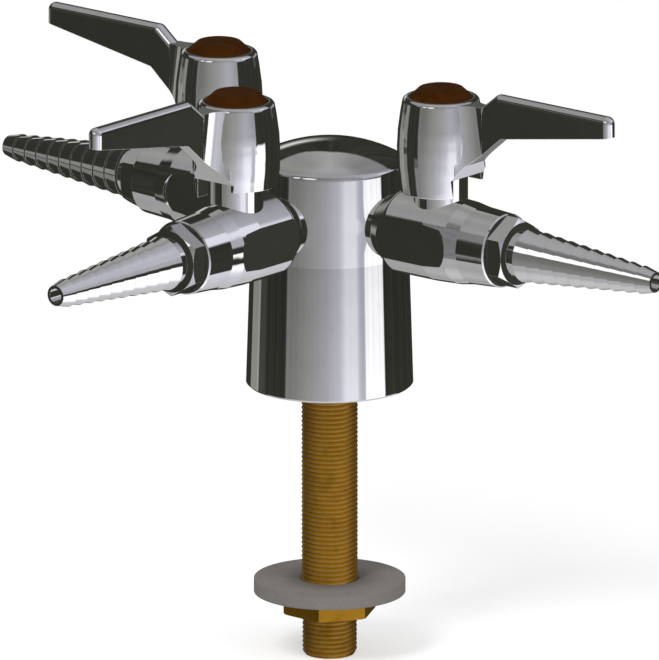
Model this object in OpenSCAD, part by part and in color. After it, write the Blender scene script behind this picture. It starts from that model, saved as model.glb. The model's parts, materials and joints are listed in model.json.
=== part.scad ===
// Laboratory gas valve: a chromed turret with three lever ball valves at right angles,
// each with a serrated hose nozzle, on a threaded brass shank with clamp washer and nut.
// Origin: centre of the turret's foot, on the bench top. +Z up, the shank hangs below.
// One valve points along +X (right), one along -Y (front) and one along -X (left).

/* [Turret] */
// Diameter of the foot that stands on the bench
foot_d = 50.8; // [46:0.2:64]
// Diameter of the turret just under its dome
shoulder_d = 46; // [43:0.2:52]
// Height of the crown above the bench
turret_h = 76; // [72:0.5:95]
// Radius of the domed top
dome_r = 46; // [34:1:90]
// Rounding between the side and the dome
shoulder_round = 2; // [0.8:0.1:4]
// Height of the valves' axes above the bench
valve_z = 52.9; // [46:0.1:58]
// Depth of the relief in the underside of the foot
foot_relief = 2; // [0.5:0.5:6]
// Width of the ring that the foot stands on
foot_rim = 4.4; // [3:0.2:8]
// Diameter of the gas chamber in the turret
chamber_d = 12; // [8:0.5:14]

/* [Shank and clamp] */
// Diameter over the shank's thread
shank_d = 17.1; // [14:0.1:20]
// Length of the shank below the bench top
shank_drop = 85; // [60:1:140]
// Diameter of the pipe end below the nut, where the supply goes on
inlet_d = 16.6; // [13.5:0.1:19]
// Length of that pipe end, without its bevel
inlet_len = 11.7; // [8:0.1:20]
// Diameter of the gas way through the shank
shank_bore_d = 10; // [5:0.5:11]
// Depth to which the shank screws into the turret
shank_entry = 14; // [8:0.5:20]
// Diameter of the clamp washer
washer_d = 46.1; // [36:0.1:60]
// Thickness of the clamp washer
washer_t = 4; // [1.5:0.1:6]
// Width across the flats of the locknut
nut_flats = 25.4; // [23:0.1:34]
// Thickness of the locknut
nut_t = 6.3; // [4:0.1:10]
// Turn of the locknut about its axis
nut_turn = 57; // [0:1:59]

/* [Valve body] */
// Largest diameter of the valve body
body_d = 26.3; // [25.5:0.1:30]
// Diameter of the round nose that enters the turret
nose_d = 18.4; // [17.8:0.1:20]
// Diameter of the body at its outlet end
outlet_d = 22.7; // [22:0.1:25]
// Length of the body from its seat in the turret to its outlet end
body_len = 48.7; // [44:0.1:60]
// Distance of the ball and stem from the seat in the turret
ball_x = 23; // [21:0.1:26]
// Distance between the two wrench flats
body_flats = 22.9; // [21.6:0.1:24]
// Diameter of the neck that the stem rises through
neck_d = 16.4; // [15:0.1:18]
// Height of the neck above the valve axis
neck_h = 22.5; // [21.4:0.1:23]
// Diameter of the male thread that screws into the turret
spigot_d = 16.6; // [14:0.1:16.9]
// Length of that thread
spigot_len = 7.6; // [5:0.1:8.2]

/* [Ball, seats and stem] */
// Diameter of the ball
ball_d = 15.8; // [14.4:0.1:16.4]
// Diameter of the gas way through ball, seats and body
port_d = 7; // [5:0.1:8]
// Diameter of the bore that holds the ball and its seats
cavity_d = 17.2; // [16.8:0.1:17.8]
// Diameter of the stem
stem_d = 7.2; // [6.4:0.1:8]
// Diameter of the stem's inner flange
flange_d = 11.2; // [10:0.1:12]
// Width across the square that drives the lever
square_w = 5; // [4:0.1:5.2]
// Height of the square's top above the valve axis
square_top = 33; // [31:0.1:34.5]
// Wire diameter of the stem's two sealing rings
ring_wire = 1; // [0.6:0.1:1.2]

/* [Lever] */
// Diameter of the hub where it is widest
hub_d = 26.2; // [25.4:0.1:29]
// Diameter of the hub under its top rim
hub_top_d = 23; // [22:0.1:24.4]
// Diameter of the hub's skirt at the bottom
skirt_d = 24.4; // [23:0.1:25.2]
// Height of the hub's rim above the valve axis
rim_z = 43.9; // [42.8:0.1:46]
// Height of the low half of the skirt's edge
skirt_low = 14.6; // [14.4:0.1:16]
// Height of the high half of the skirt's edge
skirt_high = 18.3; // [16.5:0.1:19.5]
// Reach of the blade from the stem's axis to its tip
lever_reach = 67.2; // [50:0.2:90]
// Thickness of the blade
blade_t = 4.6; // [3:0.1:7]
// Height of the blade's rounded top edge
blade_top = 48.3; // [46.4:0.1:52]
// Height of the blade's lower corner at the tip
tip_low = 42; // [38:0.1:44]
// Height of the blade's lower edge where it meets the hub's underside
heel_low = 35; // [33:0.1:37]
// Radius of the hollow fillets between hub and blade
web_r = 9; // [6:0.2:11]

/* [Index button] */
// Diameter of the button's foot
button_d = 19.5; // [18:0.1:20.5]
// Diameter of the button's flat top
button_top_d = 13.3; // [8:0.1:16]
// Height of the button above the hub's rim
button_rise = 2.7; // [1:0.1:4]

/* [Hose nozzle] */
// Width across the flats of the nozzle's hexagon
nozzle_flats = 19.05; // [18.4:0.05:22]
// Thickness of the hexagon
nozzle_hex_t = 5.3; // [4:0.1:9]
// Length of the plain shoulder in front of the hexagon
shoulder_len = 3.4; // [2.4:0.1:6]
// Diameter of the first barb, next to the shoulder
barb_root_d = 16.5; // [12:0.1:18]
// Diameter of the last barb, at the tip
barb_tip_d = 8.6; // [7.2:0.1:10]
// Number of barbs
barbs = 10; // [6:1:12]
// Length of one barb
barb_pitch = 4.93; // [4:0.01:6]
// How much a barb's radius falls along its length
barb_fall = 1.15; // [0.7:0.05:1.3]
// Diameter of the hole through the barbs
hose_bore_d = 4.4; // [2.5:0.1:4.6]

/* [Clearances] */
// Radial gap of the turning stem and nut
running_gap = 0.05; // [0.03:0.01:0.08]
// Gap between parts that move past each other
moving_gap = 0.3; // [0.25:0.05:0.5]
// Radial gap of threads and plugs that don't move
seat_gap = 0.05; // [0.02:0.01:0.1]
// Thickness of the flat seals of the valve body
seal_t = 0.8; // [0.5:0.1:1.2]

/* [Hidden] */
VALVES = [["right", 0], ["front", -90], ["left", 180]];
PIECES = ["valve_body", "inlet_seal", "inner_seat", "outer_seat", "ball", "stem", "stem_seals",
    "thrust_washer", "nozzle", "nozzle_seal", "lever", "lever_screw", "index_button"];

// Colours as the photograph shows them
CHROME = [0.8, 0.8, 0.83];
BRASS = [0.66, 0.47, 0.17];
GREY = [0.52, 0.5, 0.48];
BROWN = [0.24, 0.13, 0.05];
WHITE = [0.93, 0.93, 0.9];
BLACK = [0.12, 0.12, 0.12];
STEEL = [0.6, 0.61, 0.63];

$fn = 96;
arc_step = 5;                               // degrees between the points of a rounded corner

// Turret
side_slope = (foot_d - shoulder_d) / 2 / turret_h;
function turret_r(z) = foot_d / 2 - side_slope * z;
dome_z = turret_h - dome_r;
foot_bevel = 0.6;
port_r = nose_d / 2 + 0.25;                 // spot face for a valve's nose
port_sink = 0.95;                           // how deep the nose enters at its sides
seat_x = sqrt(pow(turret_r(valve_z), 2) - pow(port_r, 2)) - port_sink;
port_floor = seat_x - seal_t;
thread_floor = port_floor - spigot_len + seal_t - 0.4;
chamber_top = valve_z + port_d / 2 + 1.5;

// Shank, washer and nut
shank_r = shank_d / 2;
end_bevel = 1.2;
nut_low = -(shank_drop - end_bevel - inlet_len) + 0.3;
nut_bevel = 0.3;
washer_low = nut_low + nut_t + 0.1;

// Valve body, measured along its axis from the face that seats in the turret
nose_len = 3;
flare_end = nose_len + 6.8;
taper_start = ball_x + 2.2;
waist_start = ball_x + 10.7;
waist_end = ball_x + 15.7;
waist_d = body_d - 0.85;
waist_low_d = outlet_d + 1.2;
flat_end = ball_x + 11.6;
flat_r = 7.4;
seat_back = ball_d / 2 + 1;                 // from the ball's centre to a seat's back
neck_hole_r = stem_d / 2 + running_gap;
seat_front = flange_d / 2 + moving_gap;     // from the ball's centre to a seat's front
flange_low = ball_d / 2 + 0.1;
flange_top = flange_low + 1.65;
thrust_t = 0.5;
pocket_top = flange_top + running_gap + thrust_t;
outlet_rebate = 0.5;                        // depth of the ring seal's rebate

// Stops: a half ring on the neck and a quarter ring under the hub leave a quarter turn
stop_h = 2.6;
stop_in_r = stem_d / 2 + 1;
stop_out_r = neck_d / 2 - 0.6;
stop_play = 3;                              // degrees between stop and key at each limit
stop_start = 60;
key_start = stop_start - 90 - stop_play;

// Stem
groove_z = [13.5, 18];
tongue_w = 2.9;
slot_w = 3;
slot_depth = 2.3;

// Lever and what it holds
hub_cavity_r = neck_d / 2 + moving_gap;
hub_ceiling = neck_h + moving_gap;
hub_mid_z = 28.4;
rim_round = 1.5;
web_reach = 17.8;
web_bite = 0.15;                            // how far the fillets cut into the hub
web_drop = 0.5;                             // how far the fillets' top lies under the rim
slope_start = 16.8;
slope_end = 22.9;
blade_foot = 8;                             // where the blade starts, inside the hub
heel_u = 25.2;
under_u = 13.4;
under_z = 25;
cut_u = 10.3;
cut_z = 20.5;
window_w = 13;
socket_gap = 0.05;
screw_floor = square_top + 0.4;             // underside of the web that the screw clamps
web_t = 3.1;
screw_seat = screw_floor + web_t;
screw_r = 2;
screw_head_r = 3.8;
screw_head_h = 2.4;
screw_tip = square_top - 6;
well_r = 5;
rebate_z = rim_z - 0.9;                     // seat of the button

// Nozzle, measured like the body from the seat in the turret
hex_x = body_len + seal_t - outlet_rebate;
barb_x = hex_x + nozzle_hex_t + shoulder_len;
nozzle_end = barb_x + barbs * barb_pitch;
root_r = barb_root_d / 2;
tip_r = barb_tip_d / 2;
bore_step_x = hex_x + nozzle_hex_t + 1;
nozzle_plug_r = cavity_d / 2 - 0.1;
collar_r = nozzle_flats / 2 - 0.08;
collar_end = barb_x - 0.5;
barb_edge = 0.05;                           // length of the steep side of a barb

// Points of a closed outline whose corners [x, y, radius] are rounded
function unit(v) = v / norm(v);
function corner(a, b, c, r) =
    let (
        to_a = unit(a - b), to_c = unit(c - b),
        bend = acos(max(-1, min(1, to_a * to_c))),
        reach = r / tan(bend / 2),
        mid = unit(to_a + to_c),
        centre = b + mid * (r / sin(bend / 2)),
        p = b + to_a * reach - centre,
        side = p[0] * (b + to_c * reach - centre)[1] - p[1] * (b + to_c * reach - centre)[0],
        turn = (side > 0 ? 1 : -1) * (180 - bend),
        steps = max(2, ceil(abs(turn) / arc_step))
    )
    [for (i = [0 : steps]) centre + [
        p[0] * cos(turn * i / steps) - p[1] * sin(turn * i / steps),
        p[0] * sin(turn * i / steps) + p[1] * cos(turn * i / steps)
    ]];
function rounded(points) =
    let (n = len(points))
    [for (i = [0 : n - 1])
        let (
            a = points[(i + n - 1) % n], b = points[i], c = points[(i + 1) % n]
        )
        each b[2] == 0
            ? [[b[0], b[1]]]
            : corner([a[0], a[1]], [b[0], b[1]], [c[0], c[1]], b[2])
    ];

// A body of revolution about Z, and the same laid along +X
module lathe(points) rotate_extrude() polygon(rounded(points));
module lathe_x(points) rotate([0, 90, 0]) lathe([for (p = points) [p[1], p[0], p[2]]]);
module rod_x(r, from, to) translate([from, 0, 0]) rotate([0, 90, 0]) cylinder(r = r, h = to - from);
module rod_z(r, from, to) translate([0, 0, from]) cylinder(r = r, h = to - from);
module tube_z(r_out, r_in, from, to) difference() {
    rod_z(r_out, from, to);
    rod_z(r_in, from - 1, to + 1);
}

// A hexagon prism about Z with its outer corners bevelled on top and, if asked, below
module bevelled_hex(flats, t, bevel, both) {
    corner_r = flats / 2 / cos(30);
    low = both ? corner_r - bevel * 1.6 : corner_r;
    intersection() {
        cylinder(r = corner_r, h = t, $fn = 6);
        lathe([
            [0, 0, 0], [low, 0, 0], [corner_r, both ? bevel : 0.001, 0],
            [corner_r, t - bevel, 0], [corner_r - bevel * 1.6, t, 0], [0, t, 0]
        ]);
    }
}

// A sector of a ring about Z, less than a full turn, from angle a over span degrees
module ring_sector(r_out, r_in, from, to, a, span) {
    reach = r_out * 3;
    intersection() {
        tube_z(r_out, r_in, from, to);
        translate([0, 0, from - 1]) linear_extrude(to - from + 2) polygon(concat(
            [[0, 0]],
            [for (i = [0 : 4]) reach * [cos(a + span * i / 4), sin(a + span * i / 4)]]
        ));
    }
}

// Places children drawn along +X, with the seat in the turret at x = 0
module at_valve(angle) rotate(angle) translate([seat_x, 0, valve_z]) children();

module turret_body() color(CHROME) difference() {
    intersection() {
        lathe([
            [0, 0, 0], [foot_d / 2 - foot_bevel, 0, 0], [turret_r(foot_bevel), foot_bevel, 0],
            [turret_r(turret_h), turret_h, 0], [0, turret_h, 0]
        ]);
        turret_dome();
    }
    translate([0, 0, -1]) cylinder(r = foot_d / 2 - foot_rim, h = foot_relief + 1);
    rod_z(shank_r + seat_gap, 0, shank_entry);
    rod_z(chamber_d / 2, shank_entry - 1, chamber_top);
    for (v = VALVES) rotate(v[1]) translate([0, 0, valve_z]) {
        rod_x(port_r, port_floor, foot_d);
        rod_x(spigot_d / 2 + seat_gap, thread_floor, port_floor + 1);
        rod_x(port_d / 2, 0, thread_floor + 1);
    }
}

// Everything under the dome: its edge is rounded where it meets the tapering side
module turret_dome() {
    t = side_slope;
    lean = sqrt(1 + t * t);
    u = foot_d / 2 - shoulder_round * lean;
    inner = dome_r - shoulder_round;
    z = (u * t + dome_z + sqrt(pow(u * t + dome_z, 2)
        - lean * lean * (u * u + dome_z * dome_z - inner * inner))) / (lean * lean);
    x = u - t * z;
    side = [x, z] + shoulder_round * [1, t] / lean;
    top = [0, dome_z] + [x, z - dome_z] * dome_r / inner;
    a_side = atan2(side[1] - z, side[0] - x);
    a_top = atan2(top[1] - z, top[0] - x);
    a_crown = atan2(top[1] - dome_z, top[0]);
    rotate_extrude() polygon(concat(
        [[0, -1], [foot_d, -1], [side[0] + foot_d - turret_r(side[1]), side[1]]],
        [for (i = [0 : 12]) let (a = a_side + (a_top - a_side) * i / 12)
            [x, z] + shoulder_round * [cos(a), sin(a)]],
        [for (i = [1 : 11]) let (a = a_crown + (90 - a_crown) * i / 12)
            [0, dome_z] + dome_r * [cos(a), sin(a)]],
        [[0, turret_h]]
    ));
}

module shank() color(BRASS) difference() {
    lathe([
        [0, -shank_drop, 0], [inlet_d / 2 - end_bevel * 0.6, -shank_drop, 0],
        [inlet_d / 2, -shank_drop + end_bevel, 0],
        [inlet_d / 2, -shank_drop + end_bevel + inlet_len, 0],
        [shank_r, -shank_drop + end_bevel + inlet_len, 0],
        [shank_r, shank_entry, 0], [0, shank_entry, 0]
    ]);
    rod_z(shank_bore_d / 2, -shank_drop - 1, shank_entry + 1);
}

module clamp_washer() color(GREY)
    tube_z(washer_d / 2, shank_r + moving_gap, washer_low, washer_low + washer_t);

module locknut() color(BRASS) translate([0, 0, nut_low]) rotate(nut_turn) difference() {
    bevelled_hex(nut_flats, nut_t, nut_bevel, true);
    rod_z(shank_r + running_gap, -1, nut_t + 1);
}

module valve_body() color(CHROME) difference() {
    union() {
        difference() {
            lathe_x([
                [0, 0, 0], [0, nose_d / 2, 0], [nose_len, nose_d / 2, 0.8],
                [flare_end, body_d / 2, 3],
                [taper_start, body_d / 2, 8], [waist_start, waist_d / 2, 1.5],
                [waist_end, waist_low_d / 2, 3], [body_len - 0.4, outlet_d / 2, 0],
                [body_len, outlet_d / 2 - 0.4, 0], [body_len, 0, 0]
            ]);
            for (side = [-1, 1]) translate([0, side * (body_flats / 2 + 5), 0]) {
                translate([-1, -5, -flat_r]) cube([flat_end - flat_r + 1, 10, 2 * flat_r]);
                translate([flat_end - flat_r, -5, 0]) rotate([-90, 0, 0]) cylinder(r = flat_r, h = 10);
            }
        }
        rod_x(spigot_d / 2, -spigot_len, 1);
        translate([ball_x, 0, 0]) rod_z(neck_d / 2, 0, neck_h);
        translate([ball_x, 0, 0])
            ring_sector(stop_out_r, stop_in_r, neck_h - 1, neck_h + stop_h, stop_start, 180);
    }
    rod_x(cavity_d / 2, ball_x - seat_back, body_len + 1);
    rod_x(port_d / 2, -spigot_len - 1, ball_x);
    rod_x(outlet_d / 2 - 1.1, body_len - outlet_rebate, body_len + 1);
    translate([ball_x, 0, 0]) {
        rod_z(flange_d / 2 + 0.2, 0, pocket_top);
        rod_z(neck_hole_r, 0, neck_h + stop_h + 1);
    }
}

module inlet_seal() color(BLACK) translate([-seal_t, 0, 0]) rotate([0, 90, 0])
    tube_z(nose_d / 2 - 0.1, spigot_d / 2 + seat_gap, 0, seal_t);

// A seat ring with a hollow that fits the ball; side is -1 towards the inlet, 1 towards the outlet
module ball_seat(side) color(WHITE) translate([ball_x, 0, 0]) difference() {
    rotate([0, side * 90, 0]) tube_z(cavity_d / 2 - seat_gap, port_d / 2, seat_front, seat_back);
    sphere(r = ball_d / 2 + seat_gap);
}

module ball() color(CHROME) translate([ball_x, 0, 0]) difference() {
    sphere(r = ball_d / 2);
    rod_x(port_d / 2, -ball_d, ball_d);
    translate([-slot_w / 2, -ball_d, ball_d / 2 - slot_depth]) cube([slot_w, 2 * ball_d, ball_d]);
}

module stem() color(BRASS) translate([ball_x, 0, 0]) difference() {
    union() {
        intersection() {
            rod_z(flange_d / 2 - 0.6, ball_d / 2 - slot_depth + 0.1, flange_low + 1);
            translate([-tongue_w / 2, -ball_d, 0]) cube([tongue_w, 2 * ball_d, ball_d]);
        }
        rod_z(flange_d / 2, flange_low, flange_top);
        rod_z(stem_d / 2, flange_top - 1, hub_ceiling + stop_h);
        translate([-square_w / 2, -square_w / 2, hub_ceiling])
            cube([square_w, square_w, square_top - hub_ceiling]);
    }
    for (z = groove_z)
        tube_z(stem_d, stem_d / 2 - ring_wire, z - ring_wire / 2 - 0.1, z + ring_wire / 2 + 0.1);
    rod_z(screw_r + seat_gap, screw_tip - 1.5, square_top + 1);
}

module stem_seals() color(BLACK) translate([ball_x, 0, 0]) for (z = groove_z)
    translate([0, 0, z]) rotate_extrude()
        translate([stem_d / 2 - ring_wire / 2 + 0.01, 0]) circle(r = ring_wire / 2, $fn = 32);

module thrust_washer() color(WHITE) translate([ball_x, 0, 0])
    tube_z(flange_d / 2, neck_hole_r + 0.05, flange_top + running_gap, pocket_top);

module nozzle() color(CHROME) difference() {
    union() {
        rod_x(nozzle_plug_r, ball_x + seat_back, hex_x + 1);
        translate([hex_x, 0, 0]) rotate([0, 90, 0])
            bevelled_hex(nozzle_flats, nozzle_hex_t, 0.9, false);
        barbed_stem();
    }
    rod_x(port_d / 2, 0, bore_step_x);
    rod_x(hose_bore_d / 2, bore_step_x - 1, nozzle_end + 1);
}

// Shoulder and saw-tooth barbs: each steps up towards the valve and falls towards the tip
module barbed_stem() {
    step = (root_r - tip_r) / (barbs - 1);
    lathe_x(concat(
        [[hex_x + 1, 0, 0], [hex_x + 1, collar_r, 0], [collar_end, collar_r, 0.3],
            [collar_end, root_r - step, 0], [barb_x - barb_edge, root_r - step, 0]],
        [for (k = [0 : barbs - 1]) each [
            [barb_x + k * barb_pitch, root_r - k * step, 0],
            [barb_x + (k + 1) * barb_pitch - barb_edge, root_r - k * step - barb_fall, 0]
        ]],
        [[nozzle_end, root_r - (barbs - 1) * step - barb_fall, 0], [nozzle_end, 0, 0]]
    ));
}

module nozzle_seal() color(BLACK) translate([body_len - outlet_rebate, 0, 0]) rotate([0, 90, 0])
    tube_z(outlet_d / 2 - 1.2, cavity_d / 2 + 0.1, 0, seal_t);

// All that lies above the lever's underside, along u from the stem's axis and z
module lever_side() {
    past = lever_reach + 1;
    past_low = tip_low + (tip_low - heel_low) / (lever_reach - heel_u);
    polygon(rounded([
        [-hub_d, skirt_low, 0], [cut_u, skirt_low, 0], [cut_u, cut_z, 0],
        [under_u, under_z, 3], [heel_u, heel_low, 1.5], [past, past_low, 0],
        [past, blade_top + 1, 0], [-hub_d, blade_top + 1, 0]
    ]));
}

// Flat sides, with the slope, the top edge and the tip rounded by half the thickness
module lever_blade() {
    r = blade_t / 2;
    sides = 60;
    ball_r = r / cos(180 / sides);          // its facets then touch the blade's sides and top
    slope = atan((blade_top - rim_z + web_drop) / (slope_end - slope_start));
    top = blade_top - r;
    bend = slope_end + r * tan(slope / 2);
    hull() {
        translate([blade_foot, 0, top - (bend - blade_foot) * tan(slope)])
            rotate([0, 90 - slope, 0]) cylinder(r = r, h = 0.1, $fn = sides);
        for (u = [bend, lever_reach - r]) translate([u, 0, top]) sphere(r = ball_r, $fn = sides);
        translate([lever_reach - r, 0, heel_low]) cylinder(r = r, h = top - heel_low, $fn = sides);
        translate([blade_foot - r, -r, skirt_low - 1]) cube([r, 2 * r, 1]);
    }
}

// The hollow fillets lean inwards with the hub, so they are cut by leaning cylinders
module lever_web() {
    span = blade_t / 2 + web_r;
    low_u = sqrt(pow(hub_d / 2 + web_r - web_bite, 2) - span * span);
    top_u = sqrt(pow(hub_top_d / 2 + web_r - web_bite, 2) - span * span);
    rise = rim_z - rim_round - hub_mid_z;
    lean = atan((low_u - top_u) / rise);
    wedge = atan2(span, (low_u + top_u) / 2);
    difference() {
        translate([0, 0, skirt_low]) linear_extrude(rim_z - web_drop - skirt_low) polygon([
            [0, 0], [web_reach, -web_reach * tan(wedge)], [web_reach, web_reach * tan(wedge)]
        ]);
        for (side = [-1, 1]) translate([low_u, side * span, hub_mid_z]) rotate([0, -lean, 0])
            rod_z(web_r, -rim_z, rim_z);
    }
}

module lever_hub() lathe([
    [0, skirt_low, 0], [skirt_d / 2, skirt_low, 0.4], [hub_d / 2 + 1.1, hub_mid_z, 70],
    [hub_top_d / 2, rim_z, rim_round], [0, rim_z, 0]
]);

module lever() color(CHROME) translate([ball_x, 0, 0]) difference() {
    intersection() {
        union() {
            lever_hub();
            lever_web();
            lever_blade();
        }
        translate([0, hub_d, 0]) rotate([90, 0, 0]) linear_extrude(2 * hub_d) lever_side();
    }
    // space for the neck, with the quarter key left standing in its roof
    rod_z(hub_cavity_r, 0, hub_ceiling);
    ring_sector(stop_out_r + moving_gap, stop_in_r - 0.6, hub_ceiling - 1, hub_ceiling + stop_h,
        key_start, 270 + 2 * stop_play);
    // window under the blade, and the high half of the skirt
    translate([0, -window_w / 2, 0]) cube([cut_u + 5, window_w, cut_z]);
    translate([-hub_d, 0, 0]) cube([2 * hub_d, hub_d, skirt_high]);
    // square socket, screw hole, screw well and the button's seat
    translate([-square_w / 2 - socket_gap, -square_w / 2 - socket_gap, hub_ceiling - 1])
        cube([square_w + 2 * socket_gap, square_w + 2 * socket_gap, screw_floor - hub_ceiling + 1]);
    rod_z(stem_d / 2 + 0.1, 0, hub_ceiling + stop_h);
    rod_z(screw_r + 0.15, screw_floor - 1, screw_seat + 1);
    rod_z(well_r, screw_seat, rim_z + 1);
    rod_z(button_d / 2 + 0.1, rebate_z, rim_z + 1);
}

module lever_screw() color(STEEL) translate([ball_x, 0, 0]) difference() {
    union() {
        rod_z(screw_r, screw_tip, screw_seat + 1);
        lathe([
            [0, screw_seat, 0], [screw_head_r, screw_seat, 0],
            [screw_head_r, screw_seat + screw_head_h, 0.8], [0, screw_seat + screw_head_h, 0]
        ]);
    }
    translate([-screw_head_r, -0.5, screw_seat + screw_head_h - 1.1]) cube([2 * screw_head_r, 1, 2]);
}

module index_button() color(BROWN) translate([ball_x, 0, 0]) difference() {
    lathe([
        [0, screw_seat + screw_head_h + 0.3, 0], [well_r - 0.1, screw_seat + screw_head_h + 0.3, 0],
        [well_r - 0.1, rebate_z, 0], [button_d / 2, rebate_z, 0], [button_d / 2, rim_z - 0.2, 0.3],
        [button_top_d / 2, rim_z + button_rise, 0.6], [0, rim_z + button_rise, 0]
    ]);
    rod_z(well_r - 1.2, 0, rebate_z + 0.6);
}

turret_body();
shank();
clamp_washer();
locknut();
for (v = VALVES) at_valve(v[1]) {
    valve_body();
    inlet_seal();
    ball_seat(-1);
    ball_seat(1);
    ball();
    stem();
    stem_seals();
    thrust_washer();
    nozzle();
    nozzle_seal();
    lever();
    lever_screw();
    index_button();
}
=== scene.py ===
import json
import math

import bmesh
import bpy
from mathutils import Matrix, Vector


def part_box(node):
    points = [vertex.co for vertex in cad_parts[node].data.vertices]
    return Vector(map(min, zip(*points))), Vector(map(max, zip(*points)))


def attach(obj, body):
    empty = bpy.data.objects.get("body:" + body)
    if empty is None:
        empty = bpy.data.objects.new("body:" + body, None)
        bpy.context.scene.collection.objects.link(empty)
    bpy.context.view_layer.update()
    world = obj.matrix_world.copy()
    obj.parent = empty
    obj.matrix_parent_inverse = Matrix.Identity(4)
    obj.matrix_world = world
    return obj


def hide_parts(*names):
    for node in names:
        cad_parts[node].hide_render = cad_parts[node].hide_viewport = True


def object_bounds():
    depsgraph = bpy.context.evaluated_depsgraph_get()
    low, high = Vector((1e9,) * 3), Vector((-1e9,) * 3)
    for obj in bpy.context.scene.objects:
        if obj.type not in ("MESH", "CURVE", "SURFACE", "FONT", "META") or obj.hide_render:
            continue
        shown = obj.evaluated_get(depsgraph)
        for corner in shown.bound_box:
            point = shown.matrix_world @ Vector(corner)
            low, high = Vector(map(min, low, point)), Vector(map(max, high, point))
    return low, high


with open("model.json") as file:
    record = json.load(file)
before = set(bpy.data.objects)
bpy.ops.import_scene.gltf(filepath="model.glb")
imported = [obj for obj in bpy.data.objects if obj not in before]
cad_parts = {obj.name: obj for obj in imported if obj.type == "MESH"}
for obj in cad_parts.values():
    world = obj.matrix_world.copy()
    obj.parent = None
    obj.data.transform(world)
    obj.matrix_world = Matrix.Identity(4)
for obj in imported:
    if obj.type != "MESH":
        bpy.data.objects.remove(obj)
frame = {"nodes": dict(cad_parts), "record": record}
CAD_BOX = [list(corner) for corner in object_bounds()]
RECORD = frame["record"]
MOUNTS = {mount["name"]: mount for mount in RECORD["mounts"]}
MM = 0.001

# Camera: the photograph is a parallel view, so a long lens stands far off
VIEW_AZIMUTH = 40.0
VIEW_ELEVATION = 14.85
FRAME_HEIGHT = 200 * MM
CAMERA_DISTANCE = 9.3
AIM_HEIGHT = 16.35 * MM
AIM_RIGHT = -0.05 * MM
SENSOR_MM = 36.0
CLIP_NEAR = 0.1
CLIP_FAR = 100

# Thread of the shank: 18 to the inch, a little worn at its crests, with a slightly thinner pipe end.
# Both ends are chamfered from END_RADIUS.
PITCH = 25.4 / 18 * MM
THREAD_DEPTH = 0.62 * MM
CREST_SHARE = 0.14
ROOT_WIDTH = 1.15
ROOT_ROUNDNESS = 1.4
PIPE_END = 12.9 * MM
PIPE_DROP = 0.25 * MM
END_RADIUS = 7.4 * MM
END_SLOPE = 0.8
BORE_RADIUS = MOUNTS["supply_bore"]["dims"]["r_mm"] * MM
AROUND = 80
STEPS = 10
THREAD_SHARP_DEGREES = 50
CUT_TOLERANCE = 1e-8
ON_PLANE = 1e-6

# The ends of the names of the polished pieces, which are shaded smoothly over edges of fewer degrees
POLISHED = ("turret_body", "valve_body", "lever", "button", "nozzle")
POLISH_DEGREES = 12

# The nozzle between its hexagon and its first barb is waisted, as the photograph shows. The waist's
# ends and the collar's front face are distances from the turret's axis.
WAIST_FROM = 75.14 * MM
WAIST_TO = 78.5 * MM
WAIST_RADIUS = 7.1 * MM
COLLAR_FACE = 78.0 * MM
COLLAR_CHAMFER_RADIUS = 8.6 * MM

# Painted shade on the turret: its chrome is darkened by height in two lengths that meet in a fine step,
# each a little darker towards its top.
# The upper one ends at the rim under the dome.
TURRET_LINE = 41.7 * MM
TURRET_LINE_WIDTH = 0.2 * MM
TURRET_RIM = 71 * MM
TURRET_RIM_WIDTH = 1 * MM
UPPER_PAINTED_SHADE = (0.11, 0.26)
LOWER_PAINTED_SHADE = (0, 0.42)

# Stage
FLOOR_RADIUS = 0.6
FLOOR_SEGMENTS = 96
FLOOR_SHARP_DEGREES = 40
FLOOR_SOLID = 0.12
FLOOR_GONE = 0.42
FLOOR_PAINT = ((0.62, 0.62, 0.62), (0.64, 0.64, 0.64))
FLOOR_LIFT = 0.45
# Each lamp: name, azimuth from the camera's side, elevation, size in metres and watts
LAMP_DISTANCE = 1.2
LAMPS = (("key", -35, 48, 0.5, 9), ("fill", 50, 30, 0.7, 5))


def direction(azimuth, elevation):
    """The way from the object to a place at this azimuth and elevation, in degrees."""
    a, e = math.radians(azimuth), math.radians(elevation)
    return Vector((math.sin(a) * math.cos(e), -math.cos(a) * math.cos(e), math.sin(e)))


TOWARD = direction(VIEW_AZIMUTH, 0)
RIGHT = direction(VIEW_AZIMUTH + 90, 0)


def place_facing(ob, away, where):
    """Puts a camera or lamp at a place, looking back against the direction away."""
    bpy.context.scene.collection.objects.link(ob)
    ob.location = where
    ob.rotation_mode = "QUATERNION"
    ob.rotation_quaternion = (-away).to_track_quat("-Z", "Y")


def make_camera():
    data = bpy.data.cameras.new("camera")
    data.sensor_width = SENSOR_MM
    data.lens = SENSOR_MM * CAMERA_DISTANCE / FRAME_HEIGHT
    data.clip_start, data.clip_end = CLIP_NEAR, CLIP_FAR
    camera = bpy.data.objects.new("camera", data)
    back = direction(VIEW_AZIMUTH, VIEW_ELEVATION)
    aim = RIGHT * AIM_RIGHT + Vector((0, 0, AIM_HEIGHT))
    place_facing(camera, back, aim + back * CAMERA_DISTANCE)
    bpy.context.scene.camera = camera


def mesh_object(name, bm, sharp_degrees):
    me = bpy.data.meshes.new(name)
    bmesh.ops.recalc_face_normals(bm, faces=bm.faces)
    bm.to_mesh(me)
    bm.free()
    for face in me.polygons:
        face.use_smooth = True
    me.set_sharp_from_angle(angle=math.radians(sharp_degrees))
    ob = bpy.data.objects.new(name, me)
    bpy.context.scene.collection.objects.link(ob)
    return ob


# Shader helpers

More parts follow.
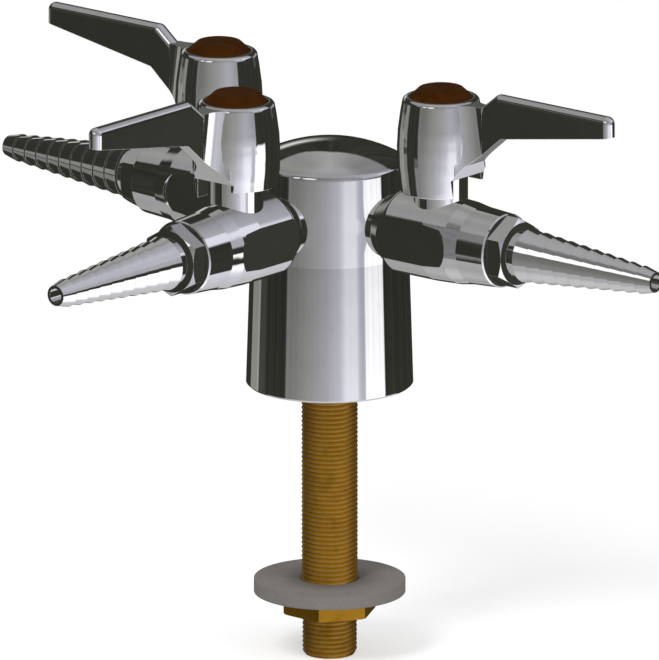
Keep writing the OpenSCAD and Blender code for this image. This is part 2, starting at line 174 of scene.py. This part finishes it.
class Shader:
    """A node tree with short calls. A socket given as a value is linked, anything else is set."""

    # the colour sockets of a Mix node, which share their names with its other sockets
    MIX_A, MIX_B, MIX_RESULT = 6, 7, 2

    def __init__(self, tree):
        self.tree = tree
        tree.nodes.clear()

    def feed(self, socket, value):
        if isinstance(value, bpy.types.NodeSocket):
            self.tree.links.new(value, socket)
        elif socket.type == "RGBA":
            socket.default_value = (*value, 1)
        else:
            socket.default_value = value

    def add(self, kind, inputs=None, **settings):
        node = self.tree.nodes.new("ShaderNode" + kind)
        for name, value in settings.items():
            setattr(node, name, value)
        for name, value in (inputs or {}).items():
            self.feed(node.inputs[name], value)
        return node

    def math(self, operation, a, b=0.0):
        return self.add("Math", {0: a, 1: b}, operation=operation).outputs[0]

    def plus(self, a, b):
        return self.math("ADD", a, b)

    def minus(self, a, b):
        return self.math("SUBTRACT", a, b)

    def times(self, a, b):
        return self.math("MULTIPLY", a, b)

    def greater(self, a, b):
        return self.math("MAXIMUM", a, b)

    def length(self, vector):
        return self.add("VectorMath", {0: vector}, operation="LENGTH").outputs["Value"]

    def place(self, scale=(1, 1, 1)):
        """The object's own coordinates in metres, stretched."""
        coordinates = self.add("TexCoord").outputs["Object"]
        return self.add("Mapping", {"Vector": coordinates, "Scale": scale}).outputs[0]

    def from_axis(self):
        """The distance from the turret's axis in metres."""
        return self.length(self.place(scale=(1, 1, 0)))

    def noise(self, where, size, detail, roughness=0.5, distortion=0.0):
        """Soft noise whose blots are about size across."""
        return self.add("TexNoise", {"Vector": where, "Scale": 1 / size, "Detail": detail,
                                     "Roughness": roughness, "Distortion": distortion}).outputs["Fac"]

    def span(self, value, low, high, to_low=0.0, to_high=1.0, smooth=True):
        """Maps value from low..high to to_low..to_high and holds it there."""
        return self.add("MapRange", {"Value": value, "From Min": low, "From Max": high,
                                     "To Min": to_low, "To Max": to_high},
                        interpolation_type="SMOOTHSTEP" if smooth else "LINEAR").outputs["Result"]

    def blend(self, amount, a, b):
        """Colour a where the amount is 0, colour b where it is 1."""
        node = self.add("Mix", {"Factor": amount, self.MIX_A: a, self.MIX_B: b}, data_type="RGBA")
        return node.outputs[self.MIX_RESULT]

    def ramp(self, value, low, high, stops):
        """Colours between stops, each a place from low to high and a colour."""
        node = self.add("ValToRGB", {0: self.span(value, low, high, smooth=False)})
        elements = node.color_ramp.elements
        for element, (at, colour) in ((elements[0], stops[0]), (elements[-1], stops[-1])):
            element.position = (at - low) / (high - low)
            element.color = (*colour, 1)
        for at, colour in stops[1:-1]:
            elements.new((at - low) / (high - low)).color = (*colour, 1)
        return node.outputs["Color"]

    def relief(self, height, depth, edge):
        """A bumpy normal on edges that look rounded by the radius edge."""
        soft = self.add("Bevel", {"Radius": edge}, samples=4).outputs["Normal"]
        return self.add("Bump", {"Height": height, "Distance": depth, "Strength": 1.0,
                                 "Normal": soft}).outputs["Normal"]

    def mirrored(self):
        """1 for a ray that a polished face sends on, 0 for others."""
        path = self.add("LightPath").outputs
        return self.greater(path["Is Glossy Ray"], path["Is Transmission Ray"])

    def shown(self):
        """1 for a ray from the camera, straight or by way of a polished face, 0 for others."""
        return self.greater(self.add("LightPath").outputs["Is Camera Ray"], self.mirrored())

    def surface(self, tone, roughness, normal, metallic=0.0, specular=0.5):
        self.finish(self.add("BsdfPrincipled", {"Base Color": tone, "Metallic": metallic,
                                                "Roughness": roughness, "Normal": normal,
                                                "Specular IOR Level": specular}))

    def finish(self, shader, output="OutputMaterial"):
        self.add(output, {"Surface": shader.outputs[0]})


def material(name):
    made = bpy.data.materials.new(name)
    made.use_nodes = True
    return made, Shader(made.node_tree)


# Materials of the object

# Most of a noise's values lie within its range. Its middle is a little narrower.
NOISE_RANGE = (0.3, 0.7)
NOISE_MIDDLE = (0.35, 0.65)


def turret_painted_shade(s):
    """How much painted shade darkens the turret, from 0 to 1."""
    z = s.add("SeparateXYZ", {0: s.place()}).outputs["Z"]
    half_line, half_rim = TURRET_LINE_WIDTH / 2, TURRET_RIM_WIDTH / 2
    above_line = s.span(z, TURRET_LINE - half_line, TURRET_LINE + half_line)
    below_rim = s.span(z, TURRET_RIM - half_rim, TURRET_RIM + half_rim, 1, 0)
    upper = s.times(s.span(z, TURRET_LINE, TURRET_RIM, *UPPER_PAINTED_SHADE, smooth=False), below_rim)
    lower = s.span(z, 0, TURRET_LINE, *LOWER_PAINTED_SHADE, smooth=False)
    return s.plus(s.times(above_line, upper), s.times(s.minus(1, above_line), lower))


def chrome(name, haze, ripple, ripple_size, edge, turned=False):
    """Polished plate: faint clouds in its tone, wiped haze, hairlines and a slight ripple. With turned,
    painted shade darkens it by height towards the dulled colour.
    """
    # dulled is the colour of the painted shade on the turret
    cloudy, clear, dulled = (0.885, 0.885, 0.89), (0.925, 0.925, 0.935), (0.40, 0.40, 0.41)
    polish, hair_roughness, hair_depth = 0.02, 0.015, 0.02
    wiped_peaks, hair_peaks = (0.4, 0.75), (0.62, 0.75)
    made, s = material(name)
    place = s.place()
    clouds = s.noise(place, size=9 * MM, detail=3)
    wiped = s.noise(place, size=14 * MM, detail=4, roughness=0.6, distortion=1.5)
    hairs = s.noise(s.place(scale=(1, 1, 14)), size=1.6 * MM, detail=2, roughness=0.6, distortion=0.3)
    tone = s.blend(s.span(clouds, *NOISE_MIDDLE), cloudy, clear)
    # painted shade: the turret darkened by height towards the dulled colour
    if turned:
        tone = s.blend(turret_painted_shade(s), tone, dulled)
    roughness = s.plus(s.span(wiped, *wiped_peaks, polish, polish + haze),
                       s.span(hairs, *hair_peaks, 0, hair_roughness))
    height = s.plus(s.noise(place, ripple_size, detail=1), s.times(hairs, hair_depth))
    s.surface(tone, roughness, s.relief(height, ripple, edge), metallic=1.0)
    return made


def brass():
    """Turned brass, dulled in patches, with fine rings from the tool and painted shade in the thread's
    roots.
    """
    clean, dulled = (0.46, 0.235, 0.021), (0.31, 0.146, 0.011)
    bright, painted_shade = (0.58, 0.32, 0.045), (0.13, 0.055, 0.004)
    dull_share, bright_share, painted_shade_share = 0.6, 0.25, 0.36
    clean_roughness, dull_roughness, ring_roughness = 0.27, 0.4, 0.05
    stain_peaks, ring_peaks = (0.46, 0.68), (0.45, 0.8)
    root, crest = 7.8 * MM, 8.5 * MM
    made, s = material("turned_brass")
    stains = s.noise(s.place(), size=7 * MM, detail=5, roughness=0.62, distortion=0.4)
    dull = s.span(stains, *stain_peaks)
    rings = s.noise(s.place(scale=(1, 1, 60)), size=3 * MM, detail=2)
    tone = s.blend(s.times(dull, dull_share), clean, dulled)
    tone = s.blend(s.span(rings, *ring_peaks, 0, bright_share), tone, bright)
    # painted shade: darker towards the thread's roots
    tone = s.blend(s.span(s.from_axis(), root, crest, painted_shade_share, 0), tone, painted_shade)
    roughness = s.plus(s.span(dull, 0, 1, clean_roughness, dull_roughness),
                       s.span(rings, *NOISE_RANGE, 0, ring_roughness))
    normal = s.relief(rings, depth=0.01 * MM, edge=0.12 * MM)
    s.surface(tone, roughness, normal, metallic=0.8, specular=0.0)
    return made


def fibre():
    """Pressed grey fibre with flecks and a slightly scuffed face, and painted shade darkening it round
    its hole.
    """
    dark, light = (0.172, 0.157, 0.145), (0.208, 0.193, 0.178)
    scuffed, painted_shade = (0.25, 0.24, 0.23), (0.05, 0.045, 0.04)
    scuffed_share, painted_shade_share = 0.35, 0.45
    roughness, scuffed_roughness, scuff_height = 0.62, 0.8, 0.6
    scuff_peaks = (0.5, 0.75)
    hole, unshaded_from = 8.5 * MM, 17 * MM
    made, s = material("pressed_fibre")
    flecks = s.noise(s.place(), size=0.5 * MM, detail=4, roughness=0.7)
    scuffs = s.noise(s.place(scale=(1, 1, 6)), size=5 * MM, detail=4, roughness=0.6, distortion=0.8)
    tone = s.blend(s.span(flecks, *NOISE_RANGE), dark, light)
    tone = s.blend(s.span(scuffs, *scuff_peaks, 0, scuffed_share), tone, scuffed)
    # painted shade: darker towards the hole round the shank
    tone = s.blend(s.span(s.from_axis(), hole, unshaded_from, painted_shade_share, 0), tone, painted_shade)
    height = s.plus(flecks, s.times(scuffs, scuff_height))
    normal = s.relief(height, depth=0.018 * MM, edge=0.35 * MM)
    s.surface(tone, s.span(scuffs, *NOISE_RANGE, roughness, scuffed_roughness), normal)
    return made


def button_plastic():
    """Moulded brown plastic, satin, with clouds in its tone and a fine grain."""
    dark, light, grainy = (0.030, 0.0092, 0.0003), (0.039, 0.0115, 0.0006), (0.052, 0.017, 0.002)
    grain_share = 0.3
    grain_peaks = (0.55, 0.8)
    roughness, grain_roughness = 0.5, 0.62
    made, s = material("brown_plastic")
    grain = s.noise(s.place(), size=0.35 * MM, detail=3, roughness=0.6)
    clouds = s.noise(s.place(), size=5 * MM, detail=3)
    tone = s.blend(s.span(clouds, *NOISE_MIDDLE), dark, light)
    tone = s.blend(s.span(grain, *grain_peaks, 0, grain_share), tone, grainy)
    normal = s.relief(grain, depth=0.006 * MM, edge=0.5 * MM)
    s.surface(tone, s.span(grain, *NOISE_RANGE, roughness, grain_roughness), normal, specular=0.05)
    return made


def plain_stuff(name, dark, light, roughness, grain_size, depth, metallic=0.0):
    """Rubber, turned fluoropolymer and plain steel of the parts inside."""
    made, s = material(name)
    grain = s.noise(s.place(), grain_size, detail=4, roughness=0.6)
    tone = s.blend(s.span(grain, *NOISE_RANGE), dark, light)
    s.surface(tone, roughness, s.relief(grain, depth, edge=0.1 * MM), metallic)
    return made


MATERIALS = {
    "chrome": chrome("plated_chrome", haze=0.025, ripple=0.006 * MM, ripple_size=9 * MM, edge=0.08 * MM),
    "lever_chrome": chrome("plated_casting", haze=0.03, ripple=0.012 * MM, ripple_size=8 * MM,
                           edge=0.25 * MM),
    "brass": brass(),
    "washer": fibre(),
    "button": button_plastic(),
    "rubber": plain_stuff("black_rubber", (0.012, 0.012, 0.012), (0.03, 0.03, 0.03),
                          roughness=0.6, grain_size=0.4 * MM, depth=0.01 * MM),
    "seat": plain_stuff("white_seat", (0.80, 0.80, 0.78), (0.86, 0.86, 0.85),
                        roughness=0.45, grain_size=0.6 * MM, depth=0.004 * MM),
    "steel": plain_stuff("bright_steel", (0.50, 0.51, 0.53), (0.60, 0.61, 0.63),
                         roughness=0.3, grain_size=0.5 * MM, depth=0.006 * MM, metallic=1.0),
}
# the turret's chrome, with painted shade darkening it by height
TURRET_CHROME = chrome("turret_chrome", haze=0.02, ripple=0.006 * MM, ripple_size=14 * MM,
                       edge=0.15 * MM, turned=True)


def dress_nodes():
    """Every piece is hidden from glossy rays: the photograph's plate mirrors only its surroundings."""
    for ob in frame["nodes"].values():
        ob.visible_glossy = False
        for slot in ob.material_slots:
            slot.material = MATERIALS[slot.material.name.split(".")[0]]
    frame["nodes"]["turret_body"].material_slots[0].material = TURRET_CHROME


# Shank

def thread_shape(phase):
    """Depth below the crest, 0 to 1, over one pitch: a narrow flat crest, flanks and a round root."""
    if phase < CREST_SHARE:
        return 0.0
    down = 1 - abs(2 * (phase - CREST_SHARE) / (1 - CREST_SHARE) - 1)
    return math.sin(min(1.0, down * ROOT_WIDTH) * math.pi / 2) ** ROOT_ROUNDNESS


def thread_rows(bm, low, high, full):
    """Rows of vertices that climb one pitch a turn, from under the low end to over the high one."""
    rows = []
    for i in range(math.ceil((high - low) / PITCH + 2) * STEPS):
        row = []
        for j in range(AROUND):
            z = low + PITCH * (i / STEPS + j / AROUND - 1)
            crest = full - (PIPE_DROP if z < low + PIPE_END else 0)
            radius = crest - THREAD_DEPTH * thread_shape((i / STEPS) % 1)
            from_end = max(0.0, min(z - low, high - z))
            radius = min(radius, END_RADIUS + END_SLOPE * from_end)
            angle = 2 * math.pi * j / AROUND
            row.append(bm.verts.new((radius * math.cos(angle), radius * math.sin(angle), z)))
        rows.append(row)
    return rows


def skin(bm, rows):
    """Faces between the rows. A turn's last column joins the first column one pitch higher."""
    for i in range(len(rows) - 1):
        low, high = rows[i], rows[i + 1]
        for j in range(AROUND - 1):
            bm.faces.new((low[j], low[j + 1], high[j + 1], high[j]))
        if i + STEPS + 1 < len(rows):
            bm.faces.new((low[-1], rows[i + STEPS][0], rows[i + STEPS + 1][0], high[-1]))


def cut_and_bore(bm, low, high):
    """Cuts the thread square at both ends, closes the ends to the bore's edge and opens the bore."""
    for z, outward in ((low, -1), (high, 1)):
        everything = bm.verts[:] + bm.edges[:] + bm.faces[:]
        bmesh.ops.bisect_plane(bm, geom=everything, dist=CUT_TOLERANCE, plane_co=(0, 0, z),
                               plane_no=(0, 0, outward), clear_outer=True)
    inner = []
    for z in (low, high):
        rim = [e for e in bm.edges
               if e.is_boundary and all(abs(v.co.z - z) < ON_PLANE for v in e.verts)]
        made = bmesh.ops.extrude_edge_only(bm, edges=rim)["geom"]
        for v in made:
            if isinstance(v, bmesh.types.BMVert):
                v.co.xy = v.co.xy.normalized() * BORE_RADIUS
        inner += [e for e in made if isinstance(e, bmesh.types.BMEdge) and e.is_boundary]
    bmesh.ops.bridge_loops(bm, edges=inner)


def threaded_shank():
    low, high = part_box("shank")
    bm = bmesh.new()
    skin(bm, thread_rows(bm, low.z, high.z, full=(high.x - low.x) / 2))
    cut_and_bore(bm, low.z, high.z)
    shank = mesh_object("threaded_shank", bm, THREAD_SHARP_DEGREES)
    shank.data.materials.append(MATERIALS["brass"])
    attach(shank, "turret")
    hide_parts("shank")
    shank.visible_glossy = False


# Polished pieces

def waist(mesh, side):
    """Draws the collar's vertices in to the waist and returns which vertices moved."""
    bore = MOUNTS[side + "_hose_bore"]
    along = Vector(bore["axis"])
    centre = Vector((0, 0, bore["pos_m"][2]))
    moved = set()
    for vertex in mesh.vertices:
        offset = vertex.co - centre
        distance = offset.dot(along)
        outward = offset - along * distance
        if WAIST_FROM < distance < WAIST_TO and outward.length > WAIST_RADIUS:
            if distance < COLLAR_FACE:
                distance = WAIST_FROM
            elif outward.length < COLLAR_CHAMFER_RADIUS:
                distance = WAIST_TO
            vertex.co = centre + along * distance + outward.normalized() * WAIST_RADIUS
            moved.add(vertex.index)
    mesh.update()
    return moved


def smoothed_normals(mesh, own):
    """Each corner's normal, averaged with those that meet it at nearly the same slope."""
    places = [tuple(vertex.co) for vertex in mesh.vertices]
    meeting = {}
    for face in mesh.polygons:
        for i in face.loop_indices:
            meeting.setdefault(places[mesh.loops[i].vertex_index], []).append((own[i], face.area))
    near = math.cos(math.radians(POLISH_DEGREES))
    normals = []
    for loop, normal in zip(mesh.loops, own):
        total = Vector()
        for other, area in meeting[places[loop.vertex_index]]:
            if other.dot(normal) > near:
                total += other * area
        normals.append(total.normalized())
    return normals


def polished_copy(name, body):
    """A copy of a node, shaded smoothly over slight edges. A nozzle also gets its waist."""
    mesh = frame["nodes"][name].data.copy()
    own = [corner.vector.copy() for corner in mesh.corner_normals]
    if name.endswith("nozzle"):
        moved = waist(mesh, name.split("_")[0])
        for face in mesh.polygons:
            if moved.intersection(face.vertices):
                for i in face.loop_indices:
                    own[i] = face.normal.copy()
    mesh.normals_split_custom_set(smoothed_normals(mesh, own))
    copy = bpy.data.objects.new(name + "_polished", mesh)
    bpy.context.scene.collection.objects.link(copy)
    copy.visible_glossy = False
    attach(copy, body)
    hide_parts(name)


def polish():
    for body, names in RECORD["behaviour"]["bodies"].items():
        for name in names:
            if name.endswith(POLISHED):
                polished_copy(name, body)


# The studio that the polished metal reflects

# Directions are in degrees: azimuth from the camera's side, growing to the right, and elevation
# above the bench. A shade is a screen grey and a tint, towards lavender where it is above 0 and
# towards olive where it is below. The plate dims what it reflects by its own tone.
TINT_SHARES = (-0.3, -0.3, 0.7)
PLATE_TONE = 0.90
PLAIN_WHITE = (1, 1, 1)
BLACK = (0, 0, 0)
DIFFUSE_STRENGTH = 0.55

# Upright folds in the cloth of the panels: their width and how much they wander with elevation
FOLD_WIDTH = 4.5
FOLD_WANDER = 0.04
FOLDS_DEEP = (0.35, 0.7)
FOLDS_SHALLOW = (0.3, 0.6)
ROOM_SHADES = ((41, -5), (53, -5))
# Each patch: azimuth from and to, elevation from and to, and the softness of each.
# Each panel: a patch, its share and its shade.
PANELS = (
    # the horizon behind and its bright line
    (182, 214, 5, 17.5, 5, 3, 1, (140, -3)),
    (183, 203, 9.5, 15, 4, 2, 1, (206, -4)),
    # the olive strip on the left and its bright edge
    (-140.5, -117, -23, -7, 1.5, 3, 1, (136, -6)),
    (-121, -116, -23, -7, 1, 3, 1, (152, -4)),
    # the dark streak beside it, lighter low down and high up
    (-116, -102, -27, 1, 2, 2, 1, (64, -4)),
    (-116, -102, -27, -14.4, 2, 0.6, 1, (118, -5)),
    (-116, -102, -11.0, 1, 2, 0.6, 1, (130, -4)),
    # behind on the right, and high on the right
    (122, 153, -4, 13, 2, 3, 1, (148, -2)),
    (104, 122, 20, 39, 2, 3, 1, (194, 10)),
    # beside the wall on its left, high up and low down
    (-82, -63, 19, 43, 2, 4, 1, (120, 0)),
    (-75, -63, -36, -17, 2, 2, 1, (122, -1)),
)
# The light shoulder right of the wall
SHOULDER = (46, 84.5, 5.5, 50, 1.5, 2.5)
SHOULDER_RISE = (18, 34)
SHOULDER_SHADES = ((166, 5), (194, 11))

# In the sky, the wall and the floor each stop is an azimuth, a screen grey and a tint
SKY = ((-180, 157, -3), (-164, 134, -3), (-148, 140, -3), (-132, 148, -2), (-106, 141, -1),
       (-84, 148, 0), (-70, 114, 1), (-34, 116, 1), (0, 137, 2), (28, 154, 5), (54, 166, 7),
       (86, 186, 10), (112, 164, 8), (140, 145, 5), (158, 124, 1), (168, 138, 0), (180, 157, -2))
ZENITH = ((-180, 160, 2), (0, 159, 2), (50, 164, 4), (100, 167, 6), (180, 160, 2))
ZENITH_RISE = (56, 69)
SKY_HOLE = (-76, -44, 46, 66, 3, 4, 1, (112, 0))
SKY_LIGHT = (84, 106, 21, 39, 1.5, 3, 1, (222, 12))

# The wall goes from its high shades to its low ones as elevation falls
WALL = (-63.5, 54, -40, 41, 1.2, 2)
WALL_HIGH = ((-64, 116, -3), (-54, 109, -3), (-45, 113, -4), (-36, 123, -4), (-26, 133, -4),
             (-11, 144, -2), (6, 155, 2), (14, 163, 5), (24, 170, 8), (33, 168, 9), (41, 158, 7),
             (52, 150, 6))
WALL_LOW = ((-64, 128, -2), (-55, 132, -2), (-44, 143, -1), (-34, 156, 0), (-18, 169, 5),
            (-3, 192, 8), (6, 210, 11), (14, 228, 14), (22, 246, 13), (32, 257, 4))
WALL_FALL = (0, -27)
WALL_GLOOM = (0.05, 0.05, 0.05)
WALL_GLOOM_RISE = (3, 17)
WALL_GLOOM_SHARE = 0.15
WALL_FOLD_SHARE = 0.06
WALL_PANELS = (
    # the reveal of the window and the shine beside it
    (40, 60, -26, -8, 2, 2, 1, (184, 12)),
    (19, 42, -20, -8.5, 5, 2.5, 0.45, (252, 7)),
)
WALL_LEFT_EDGE = (-66, -61.5, 1)
WALL_LEFT_SHADE = (124, 6)

FLOOR = ((-180, 180, 0), (-164, 156, -2), (-116, 152, -1), (-70, 168, 2), (-40, 172, 3), (0, 216, 4),
         (30, 258, 0), (96, 256, 0), (108, 218, 10), (124, 202, 8), (150, 190, 3), (180, 183, 0))
FLOOR_FALL = (-48, -64)
NADIR = (191, 1)
NADIR_LIGHT = (-30, 100, -90, -40, 8, 3, 1, (258, 0))

WINDOW = (51.5, 82.6, -62, 10, 1.2, 1.5)
WINDOW_SHADES = ((249, 8), (268, 0))

# In the edges each stop is an azimuth and an elevation
SKY_EDGE = ((-180, 41), (-169, 36), (-150, 36), (-84, 35), (-74, 43.5), (46, 43.5), (56, 40),
            (84, 23), (120, 32), (140, 38), (160, 39.5), (180, 41))
FLOOR_EDGE = ((-180, -34), (-164, -40), (-146, -41), (-128, -36), (-100, -32), (-60, -32), (0, -31),
              (88, -31), (98, -39), (110, -38), (132, -40), (150, -36), (180, -34))
WINDOW_TOP = ((-180, -9), (54, -9), (60, -7.8), (70, -8.4), (180, -8.4))

EDGE_SOFT = 1.5
WINDOW_TOP_SOFT = 1.2

# Each round light: azimuth, elevation, half width and half height
ROUND_LIGHTS = ((-33, 33, 12, 12), (-54.5, 31.5, 6, 11))
ROUND_LIGHT_SOFT = 0.12
ROUND_LIGHT = (1.15, 1.15, 1.15)


def seen(grey, tint):
    """The light that shows in the plated metal as this shade on the screen, by sRGB's curve."""
    levels = ((grey + share * tint) / 255 for share in TINT_SHARES)
    return tuple(((level + 0.055) / 1.055) ** 2.4 / PLATE_TONE for level in levels)


class Studio(Shader):
    """The world's node tree, which knows the direction that each ray looks in."""

    def __init__(self, tree):
        super().__init__(tree)
        self.ray = self.add("TexCoord").outputs["Generated"]
        up = self.add("SeparateXYZ", {0: self.ray}).outputs["Z"]
        turn = self.math("ARCTAN2", self.along(RIGHT), self.along(TOWARD))
        self.azimuth = self.math("DEGREES", turn)
        self.around = self.math("MODULO", self.plus(self.azimuth, 360), 360)
        self.elevation = self.math("DEGREES", self.math("ARCSINE", up))
        across = self.add("CombineXYZ", {"X": self.azimuth,
                                         "Y": self.times(self.elevation, FOLD_WANDER)}).outputs[0]
        self.folds = self.noise(across, FOLD_WIDTH, detail=3, roughness=0.6)

    def along(self, axis):
        return self.add("VectorMath", {0: self.ray, 1: axis}, operation="DOT_PRODUCT").outputs["Value"]

    def between(self, value, low, high, soft):
        return self.times(self.span(value, low - soft, low + soft),
                          self.span(value, high - soft, high + soft, 1, 0))

    def patch(self, a0, a1, e0, e1, soft_a, soft_e):
        """1 within these azimuths and elevations. A patch that crosses 180 goes by the whole turn."""
        azimuth = self.around if a1 > 180 else self.azimuth
        return self.times(self.between(azimuth, a0, a1, soft_a),
                          self.between(self.elevation, e0, e1, soft_e))

    def hang(self, under, panels):
        """Panels over what is under them, each with its share."""
        for *edges, share, shade in panels:
            under = self.blend(self.times(self.patch(*edges), share), under, seen(*shade))
        return under

    def by_azimuth(self, stops):
        return self.ramp(self.azimuth, -180, 180, [(at, seen(grey, tint)) for at, grey, tint in stops])

    def above(self, edge, soft):
        """1 above an edge whose elevation changes with azimuth, 0 below it."""
        limit = 100
        stops = [(at, ((elevation + limit) / (2 * limit),) * 3) for at, elevation in edge]
        height = self.span(self.ramp(self.azimuth, -180, 180, stops), 0, 1, -limit, limit, smooth=False)
        return self.span(self.minus(self.elevation, height), -soft, soft)

    def below(self, edge, soft):
        return self.above(edge, -soft)


def room(s):
    """The dark room, its panels and the soft shoulder of light on the right."""
    dark, fold = ROOM_SHADES
    low, high = SHOULDER_SHADES
    shade = s.hang(s.blend(s.span(s.folds, *FOLDS_DEEP), seen(*dark), seen(*fold)), PANELS)
    shoulder = s.blend(s.span(s.elevation, *SHOULDER_RISE), seen(*low), seen(*high))
    return s.blend(s.patch(*SHOULDER), shade, shoulder)


def sky(s):
    """Shaded by azimuth up to the zenith's own shades, with a darker hole on the left."""
    shade = s.hang(s.by_azimuth(SKY), [SKY_HOLE])
    return s.blend(s.span(s.elevation, *ZENITH_RISE), shade, s.by_azimuth(ZENITH))


def wall(s):
    """The wall in front: lighter low down, gloomy at its top and faintly folded."""
    shade = s.blend(s.span(s.elevation, *WALL_FALL, smooth=False),
                    s.by_azimuth(WALL_HIGH), s.by_azimuth(WALL_LOW))
    shade = s.blend(s.span(s.elevation, *WALL_GLOOM_RISE, 0, WALL_GLOOM_SHARE), shade, WALL_GLOOM)
    shade = s.hang(shade, WALL_PANELS)
    shade = s.blend(s.between(s.azimuth, *WALL_LEFT_EDGE), shade, seen(*WALL_LEFT_SHADE))
    return s.blend(s.span(s.folds, *FOLDS_DEEP, WALL_FOLD_SHARE, 0), shade, BLACK)


def studio_floor(s):
    """Shaded by azimuth down to the nadir, which is light in front and on the right."""
    nadir = s.hang(seen(*NADIR), [NADIR_LIGHT])
    return s.blend(s.span(s.elevation, *FLOOR_FALL), s.by_azimuth(FLOOR), nadir)


def window(s):
    """Bright folded cloth."""
    fold, cloth = WINDOW_SHADES
    return s.blend(s.span(s.folds, *FOLDS_SHALLOW), seen(*fold), seen(*cloth))


def round_light(s, azimuth, elevation, half_width, half_height):
    x = s.math("DIVIDE", s.minus(s.azimuth, azimuth), half_width)
    y = s.math("DIVIDE", s.minus(s.elevation, elevation), half_height)
    far = s.math("SQRT", s.plus(s.times(x, x), s.times(y, y)))
    return s.span(far, 1 - ROUND_LIGHT_SOFT, 1 + ROUND_LIGHT_SOFT, 1, 0)


def make_world():
    """Polished metal mirrors the studio. To the camera it is plain white, and its light is even."""
    world = bpy.data.worlds.new("studio")
    bpy.context.scene.world = world
    world.use_nodes = True
    s = Studio(world.node_tree)
    shade = s.blend(s.above(SKY_EDGE, EDGE_SOFT), room(s), sky(s))
    shade = s.hang(shade, [SKY_LIGHT])
    shade = s.blend(s.patch(*WALL), shade, wall(s))
    shade = s.blend(s.below(FLOOR_EDGE, EDGE_SOFT), shade, studio_floor(s))
    in_window = s.times(s.patch(*WINDOW), s.below(WINDOW_TOP, WINDOW_TOP_SOFT))
    shade = s.blend(in_window, shade, window(s))
    for light in ROUND_LIGHTS:
        shade = s.blend(round_light(s, *light), shade, ROUND_LIGHT)
    colour = s.blend(s.mirrored(), PLAIN_WHITE, shade)
    strength = s.span(s.shown(), 0, 1, DIFFUSE_STRENGTH, 1, smooth=False)
    s.finish(s.add("Background", {"Color": colour, "Strength": strength}), "OutputWorld")


# Lamps and floor

def make_lamp(name, azimuth, elevation, size, watts):
    data = bpy.data.lights.new(name, "AREA")
    data.shape = "DISK"
    data.size = size
    data.energy = watts
    lamp = bpy.data.objects.new(name, data)
    away = direction(VIEW_AZIMUTH + azimuth, elevation)
    place_facing(lamp, away, away * LAMP_DISTANCE)
    lamp.visible_glossy = False


def floor_paint():
    """Pale paint with a faint grain, a little lifted where it shows, that thins out into the white."""
    made, s = material("floor")
    grain = s.noise(s.place(), size=6 * MM, detail=4)
    paint = s.add("BsdfDiffuse", {"Color": s.blend(grain, *FLOOR_PAINT)})
    lift = s.add("Emission", {"Color": PLAIN_WHITE, "Strength": s.times(s.shown(), FLOOR_LIFT)})
    solid = s.add("AddShader", {0: paint.outputs[0], 1: lift.outputs[0]})
    share = s.span(s.length(s.place()), FLOOR_SOLID, FLOOR_GONE, 1, 0)
    clear = s.add("BsdfTransparent")
    s.finish(s.add("MixShader", {0: share, 1: clear.outputs[0], 2: solid.outputs[0]}))
    return made


def make_floor():
    bm = bmesh.new()
    bmesh.ops.create_circle(bm, cap_ends=True, segments=FLOOR_SEGMENTS, radius=FLOOR_RADIUS)
    floor = mesh_object("floor", bm, FLOOR_SHARP_DEGREES)
    floor.location.z = CAD_BOX[0][2]
    floor.data.materials.append(floor_paint())
    floor.visible_glossy = False


make_camera()
bpy.context.scene.view_settings.view_transform = "Standard"
dress_nodes()
polish()
threaded_shank()
make_world()
for lamp in LAMPS:
    make_lamp(*lamp)
make_floor()
